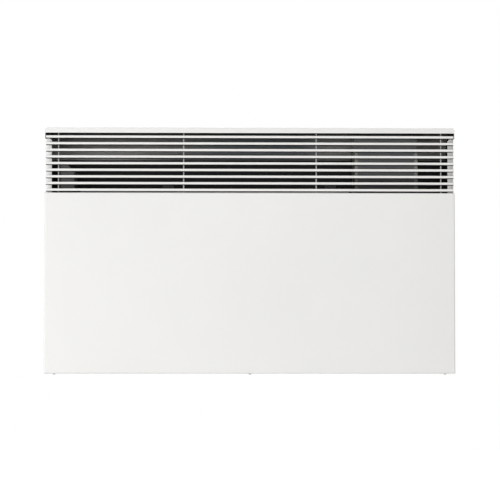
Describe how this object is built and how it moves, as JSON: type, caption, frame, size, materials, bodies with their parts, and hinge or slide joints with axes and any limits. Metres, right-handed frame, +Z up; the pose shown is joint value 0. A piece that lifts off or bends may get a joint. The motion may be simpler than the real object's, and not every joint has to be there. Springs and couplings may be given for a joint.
{
  "type": "wall panel convector heater",
  "caption": "Wall panel convector heater: white steel casing with a plain front, slatted outlet grille, finned element in a duct, controls sunk in the top, and a hook-on wall bracket.",
  "frame": {"origin": "middle of the wall bracket's upper rail, on its wall face", "axes": "+Z up, +X to the right of someone facing the heater, +Y into the wall"},
  "size_m": [0.74, 0.102, 0.4457],
  "materials": {
    "casing_paint": "satin white powder coat",
    "rod_paint": "satin white paint on wire",
    "galvanised": "galvanised sheet",
    "aluminised": "aluminised sheet, slightly dulled by heat",
    "element_aluminium": "plain extruded and pressed fins",
    "zinc": "yellowish zinc plating",
    "spring_steel": "tempered spring strip",
    "ceramic": "unglazed steatite",
    "housing_plastic": "dark grey moulding",
    "control_plastic": "fine-textured white moulding",
    "black_plastic": "black moulding",
    "pale_plastic": "pale moulding",
    "board": "green coated laminate",
    "lens": "clear amber-red lens",
    "wire_brown": "brown insulation",
    "wire_blue": "blue insulation",
    "wire_red": "heat-proof red insulation",
    "wire_earth": "green and yellow insulation",
    "wire_grey": "grey insulation"
  },
  "bodies": {
    "wall_mount": {"wall_bracket": "galvanised", "catch_left": "spring_steel", "catch_right": "spring_steel"},
    "heater": {"rear_casing": "casing_paint", "front_panel": "casing_paint", "slat_1": "casing_paint", "slat_2": "casing_paint", "slat_3": "casing_paint", "slat_4": "casing_paint", "slat_5": "casing_paint", "slat_6": "casing_paint", "slat_7": "casing_paint", "slat_8": "casing_paint", "slat_9": "casing_paint", "grille_rod_1": "rod_paint", "grille_rod_2": "rod_paint", "grille_rod_3": "rod_paint", "grille_rod_4": "rod_paint", "inlet_grille": "galvanised", "side_baffle_left": "galvanised", "side_baffle_right": "galvanised", "element_bracket_left": "galvanised", "element_bracket_right": "galvanised", "air_deflector": "aluminised", "rear_heat_shield": "aluminised", "front_heat_shield": "aluminised", "heating_element": "element_aluminium", "panel_screw_left": "zinc", "panel_screw_middle": "zinc", "panel_screw_right": "zinc", "control_channel": "zinc", "fascia_screw_left": "zinc", "fascia_screw_right": "zinc", "earth_stud": "zinc", "element_bush_left": "ceramic", "element_bush_right": "ceramic", "control_housing": "housing_plastic", "control_fascia": "control_plastic", "lead_grommet": "black_plastic", "thermal_cutout": "black_plastic", "thermostat_body": "black_plastic", "switch_body": "black_plastic", "cord_gland": "black_plastic", "gland_nut": "black_plastic", "terminal_block": "pale_plastic", "room_sensor": "pale_plastic", "circuit_board": "board", "pilot_lens": "lens", "lead_live": "wire_brown", "lead_neutral": "wire_blue", "lead_switched": "wire_red", "lead_link": "wire_red", "lead_earth": "wire_earth", "sensor_lead": "wire_grey"},
    "dial": {"thermostat_dial": "control_plastic", "thermostat_shaft": "zinc"},
    "rocker": {"switch_rocker": "control_plastic"}
  },
  "joints": [
    {"name": "heater_tilt", "type": "hinge", "parent": "wall_mount", "child": "heater", "pos_m": [0, -0.0225, -0.277], "axis": [1, 0, 0], "range_deg": [0, 20], "deforming": ["catch_left", "catch_right"]},
    {"name": "thermostat_turn", "type": "hinge", "parent": "heater", "child": "dial", "pos_m": [0.232, -0.053, 0.112], "axis": [0, 0, -1], "range_deg": [0, 270]},
    {"name": "power_rock", "type": "hinge", "parent": "heater", "child": "rocker", "pos_m": [0.273, -0.053, 0.1105], "axis": [-1, 0, 0], "range_deg": [0, 18]}
  ]
}
